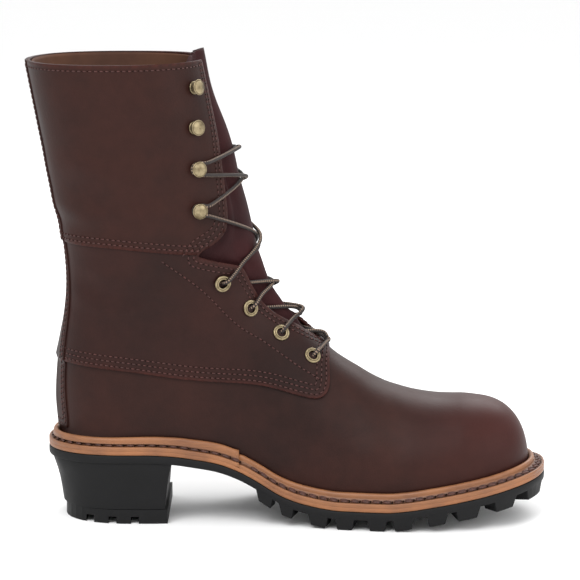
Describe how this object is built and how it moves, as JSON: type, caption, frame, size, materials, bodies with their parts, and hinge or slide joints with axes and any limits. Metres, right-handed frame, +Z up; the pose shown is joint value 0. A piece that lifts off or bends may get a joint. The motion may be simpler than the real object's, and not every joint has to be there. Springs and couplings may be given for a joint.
{
  "type": "logger boot",
  "caption": "Left lace-up logger boot: tall oiled-leather shaft over a round-toed vamp, stitched tan storm welt, raised heel and lugged rubber sole.",
  "frame": {"origin": "on the floor, under the middle of the boot's box", "axes": "+X from heel to toe, +Y towards the outer side, +Z up"},
  "size_m": [0.3248, 0.1158, 0.294],
  "materials": {
    "leather": "oiled dark brown",
    "lining": "matt red-brown",
    "welt_tan": "waxed tan",
    "rubber": "matt black",
    "cord": "braided",
    "brass": "antique"
  },
  "bodies": {
    "root": {"outsole": "rubber", "heel_block": "rubber", "heel_lift": "rubber", "midsole": "welt_tan", "welt": "welt_tan", "insole": "lining", "upper": "leather", "tongue": "lining", "lace": "cord", "eyelet_inner_1": "brass", "eyelet_inner_2": "brass", "eyelet_inner_3": "brass", "eyelet_inner_4": "brass", "eyelet_outer_1": "brass", "eyelet_outer_2": "brass", "eyelet_outer_3": "brass", "eyelet_outer_4": "brass", "hook_inner_1": "brass", "hook_inner_2": "brass", "hook_inner_3": "brass", "hook_inner_4": "brass", "hook_outer_1": "brass", "hook_outer_2": "brass", "hook_outer_3": "brass", "hook_outer_4": "brass"}
  },
  "joints": []
}
